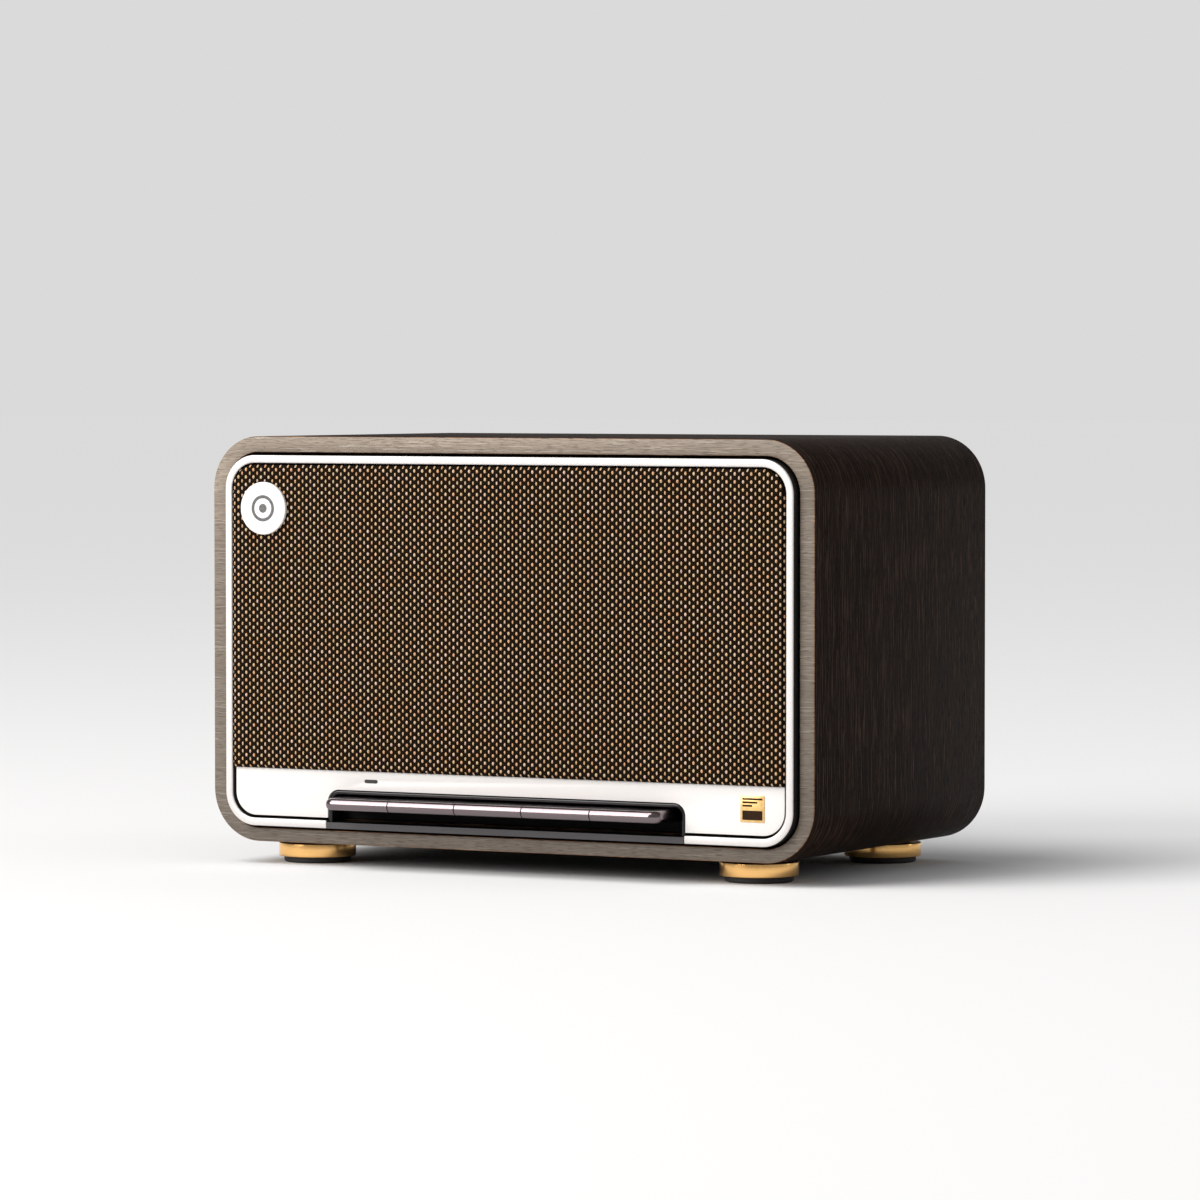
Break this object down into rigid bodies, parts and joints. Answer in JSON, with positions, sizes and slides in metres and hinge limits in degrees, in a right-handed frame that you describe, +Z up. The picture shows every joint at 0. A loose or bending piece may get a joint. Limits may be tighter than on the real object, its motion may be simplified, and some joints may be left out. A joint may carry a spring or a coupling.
{
  "type": "tabletop loudspeaker",
  "caption": "Retro tabletop loudspeaker: rounded wooden cabinet, woven grille, silver trim and lower panel, piano keys, round gold feet, sprung keys and sliding cones.",
  "frame": {"origin": "centre of the whole part's footprint, on the surface that the feet stand on", "axes": "+Z up, +X to the right as seen from the front, +Y from the front to the back, so that the keys and grille face -Y"},
  "size_m": [0.27, 0.1672, 0.171],
  "materials": {
    "walnut_wrap": "satin dark walnut veneer over fibreboard",
    "baffle_board": "black-stained fibreboard",
    "silver_trim": "warm satin silver",
    "silver_panel": "warm satin silver",
    "black_gloss": "polished",
    "black_plastic": "matt moulded",
    "woven_cloth": "black and gold woven speaker cloth",
    "badge_face": "satin",
    "gold_foil": "printed foil",
    "dark_lens": "smoked",
    "key_chrome": "dark mirror plating on moulded plastic",
    "steel": "zinc plated",
    "circuit_board": "solder mask",
    "silicone": "moulded",
    "black_steel": "powder coated",
    "ferrite": "ground",
    "zinc_steel": "zinc plated",
    "spider_cloth": "treated cotton",
    "rubber": "soft",
    "paper_cone": "pressed paper pulp",
    "copper_coil": "enamelled wire",
    "silk_dome": "coated silk",
    "rear_board": "black laminated fibreboard",
    "button_plastic": "matt moulded",
    "black_screws": "black oxide",
    "brass_standoff": "turned",
    "aluminium": "extruded",
    "capacitor_sleeve": "shrink sleeve",
    "cell_sleeve": "shrink sleeve",
    "wire_sleeve": "insulated wire",
    "gold_metal": "satin turned",
    "foot_rubber": "moulded"
  },
  "bodies": {
    "cabinet": {"cabinet_shell": "walnut_wrap", "front_baffle": "baffle_board", "trim_ring": "silver_trim", "fascia_panel": "silver_panel", "key_surround": "black_gloss", "grille_frame": "black_plastic", "grille_cloth": "woven_cloth", "badge": "badge_face", "foil_label": "gold_foil", "status_lens": "dark_lens", "key_axle": "steel", "key_carrier": "black_plastic", "key_board": "circuit_board", "key_domes": "silicone", "woofer_basket": "black_steel", "woofer_magnet": "ferrite", "woofer_top_plate": "zinc_steel", "woofer_yoke": "zinc_steel", "woofer_spider": "spider_cloth", "woofer_edge": "rubber", "tweeter_plate_left": "black_plastic", "tweeter_plate_right": "black_plastic", "tweeter_motor_left": "zinc_steel", "tweeter_motor_right": "zinc_steel", "tweeter_edges": "rubber", "baffle_screws": "steel", "rear_panel": "rear_board", "port_tube": "black_plastic", "jack_plate": "black_plastic", "dc_socket": "black_plastic", "aux_socket": "black_plastic", "usb_socket": "steel", "rear_screws": "black_screws", "amplifier_board": "circuit_board", "board_standoffs": "brass_standoff", "heat_sink": "aluminium", "board_capacitors": "capacitor_sleeve", "battery_cells": "cell_sleeve", "battery_tray": "black_plastic", "driver_leads": "wire_sleeve", "foot_ring_front_left": "gold_metal", "foot_ring_front_right": "gold_metal", "foot_ring_rear_left": "gold_metal", "foot_ring_rear_right": "gold_metal", "foot_pad_front_left": "foot_rubber", "foot_pad_front_right": "foot_rubber", "foot_pad_rear_left": "foot_rubber", "foot_pad_rear_right": "foot_rubber", "foot_screws": "steel"},
    "source_key_lever": {"source_key": "key_chrome"},
    "volume_down_key_lever": {"volume_down_key": "key_chrome"},
    "play_key_lever": {"play_key": "key_chrome"},
    "volume_up_key_lever": {"volume_up_key": "key_chrome"},
    "skip_key_lever": {"skip_key": "key_chrome"},
    "woofer_diaphragm": {"woofer_cone": "paper_cone", "woofer_dust_cap": "paper_cone", "woofer_voice_coil": "copper_coil"},
    "left_tweeter_diaphragm": {"tweeter_dome_left": "silk_dome"},
    "right_tweeter_diaphragm": {"tweeter_dome_right": "silk_dome"},
    "pairing_button_plunger": {"pairing_button": "button_plastic"}
  },
  "joints": [
    {"name": "source_key_press", "type": "hinge", "parent": "cabinet", "child": "source_key_lever", "pos_m": [-0.0604, -0.0424, 0.0265], "axis": [1, 0, 0], "range_deg": [0, 3], "stiffness_Nm_per_rad": 0.6, "springref_deg": -1.15, "deforming": ["key_domes"]},
    {"name": "volume_down_key_press", "type": "hinge", "parent": "cabinet", "child": "volume_down_key_lever", "pos_m": [-0.0302, -0.0424, 0.0265], "axis": [1, 0, 0], "range_deg": [0, 3], "stiffness_Nm_per_rad": 0.6, "springref_deg": -1.15, "deforming": ["key_domes"]},
    {"name": "play_key_press", "type": "hinge", "parent": "cabinet", "child": "play_key_lever", "pos_m": [0, -0.0424, 0.0265], "axis": [1, 0, 0], "range_deg": [0, 3], "stiffness_Nm_per_rad": 0.6, "springref_deg": -1.15, "deforming": ["key_domes"]},
    {"name": "volume_up_key_press", "type": "hinge", "parent": "cabinet", "child": "volume_up_key_lever", "pos_m": [0.0302, -0.0424, 0.0265], "axis": [1, 0, 0], "range_deg": [0, 3], "stiffness_Nm_per_rad": 0.6, "springref_deg": -1.15, "deforming": ["key_domes"]},
    {"name": "skip_key_press", "type": "hinge", "parent": "cabinet", "child": "skip_key_lever", "pos_m": [0.0604, -0.0424, 0.0265], "axis": [1, 0, 0], "range_deg": [0, 3], "stiffness_Nm_per_rad": 0.6, "springref_deg": -1.15, "deforming": ["key_domes"]},
    {"name": "woofer_stroke", "type": "slide", "parent": "cabinet", "child": "woofer_diaphragm", "axis": [0, -1, 0], "range_m": [-0.003, 0.003], "stiffness_N_per_m": 1200, "deforming": ["woofer_edge", "woofer_spider"]},
    {"name": "left_tweeter_stroke", "type": "slide", "parent": "cabinet", "child": "left_tweeter_diaphragm", "axis": [0, -1, 0], "range_m": [-0.0003, 0.0003], "stiffness_N_per_m": 600, "deforming": ["tweeter_edges"]},
    {"name": "right_tweeter_stroke", "type": "slide", "parent": "cabinet", "child": "right_tweeter_diaphragm", "axis": [0, -1, 0], "range_m": [-0.0003, 0.0003], "stiffness_N_per_m": 600, "deforming": ["tweeter_edges"]},
    {"name": "pairing_button_push", "type": "slide", "parent": "cabinet", "child": "pairing_button_plunger", "axis": [0, -1, 0], "range_m": [0, 0.0009], "stiffness_N_per_m": 800, "springref_m": -0.0005}
  ]
}
